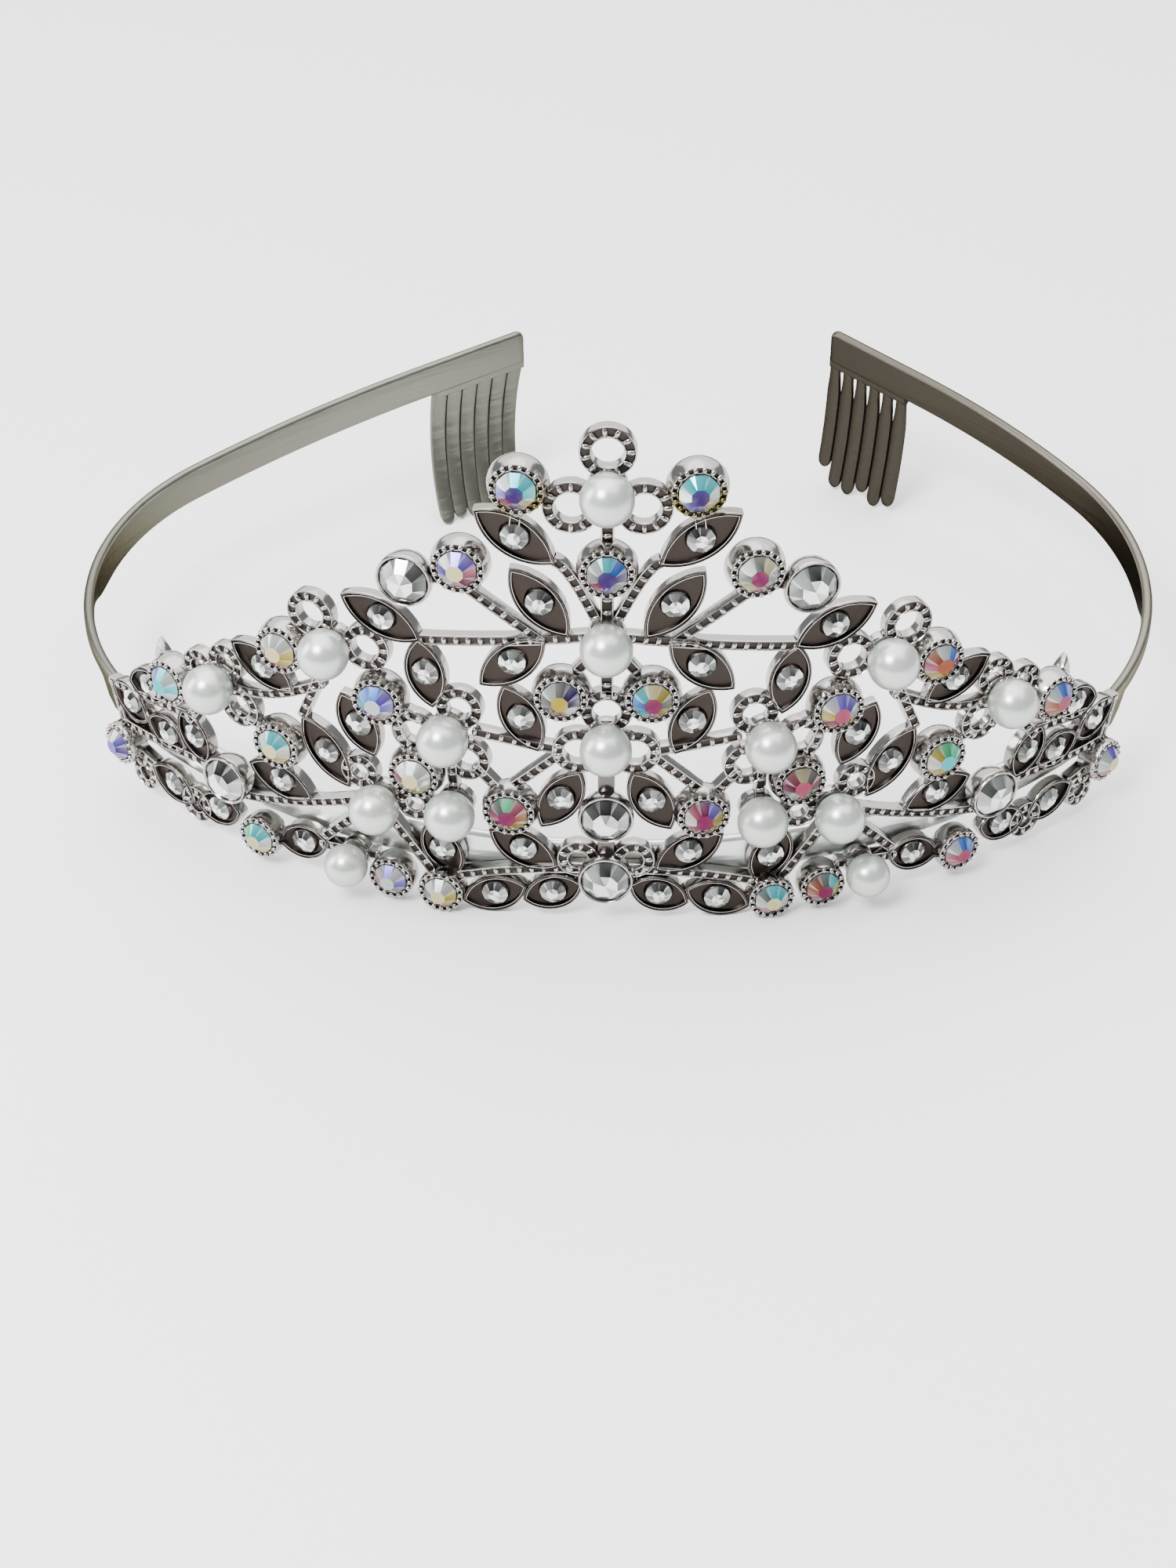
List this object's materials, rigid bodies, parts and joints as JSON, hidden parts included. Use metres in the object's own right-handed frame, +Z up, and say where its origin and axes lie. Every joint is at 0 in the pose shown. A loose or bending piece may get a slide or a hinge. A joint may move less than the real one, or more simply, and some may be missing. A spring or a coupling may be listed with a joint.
{
  "type": "crown headband",
  "caption": "Tiara headband: an openwork front panel of leaves, loops, pearls and set stones on a sprung horseshoe band whose ends are toothed combs.",
  "frame": {"origin": "centre of the bounding box in plan, on the surface the piece stands on", "axes": "+X to the viewer's right, -Y towards the viewer and the front of the panel, +Z up"},
  "size_m": [0.1405, 0.1158, 0.0661],
  "materials": {
    "band_steel": "satin silver-grey plate",
    "cast_silver": "bright silver plate on a casting, darkened in its recesses",
    "pearl": "lustrous white pearl coat",
    "iris_glass": "faceted glass with an iridescent coat and foiled back",
    "clear_glass": "faceted clear glass with a foiled back"
  },
  "bodies": {
    "root": {"headband": "band_steel", "openwork_panel": "cast_silver", "pearl_centre_1": "pearl", "pearl_centre_2": "pearl", "pearl_centre_3": "pearl", "pearl_left_1": "pearl", "pearl_left_2": "pearl", "pearl_left_3": "pearl", "pearl_left_4": "pearl", "pearl_left_5": "pearl", "pearl_right_1": "pearl", "pearl_right_2": "pearl", "pearl_right_3": "pearl", "pearl_right_4": "pearl", "pearl_right_5": "pearl", "foot_pearl_left": "pearl", "foot_pearl_right": "pearl", "iris_stone_centre": "iris_glass", "iris_stone_left_1": "iris_glass", "iris_stone_left_2": "iris_glass", "iris_stone_left_3": "iris_glass", "iris_stone_left_4": "iris_glass", "iris_stone_left_5": "iris_glass", "iris_stone_left_6": "iris_glass", "iris_stone_left_7": "iris_glass", "iris_stone_left_8": "iris_glass", "iris_stone_left_9": "iris_glass", "iris_stone_right_1": "iris_glass", "iris_stone_right_2": "iris_glass", "iris_stone_right_3": "iris_glass", "iris_stone_right_4": "iris_glass", "iris_stone_right_5": "iris_glass", "iris_stone_right_6": "iris_glass", "iris_stone_right_7": "iris_glass", "iris_stone_right_8": "iris_glass", "iris_stone_right_9": "iris_glass", "clear_stone_upper": "clear_glass", "clear_stone_lower": "clear_glass", "clear_stone_left_1": "clear_glass", "clear_stone_left_2": "clear_glass", "clear_stone_right_1": "clear_glass", "clear_stone_right_2": "clear_glass", "foot_stones_left": "iris_glass", "foot_stones_right": "iris_glass", "leaf_stones_centre": "clear_glass", "leaf_stones_left": "clear_glass", "leaf_stones_right": "clear_glass"}
  },
  "joints": []
}
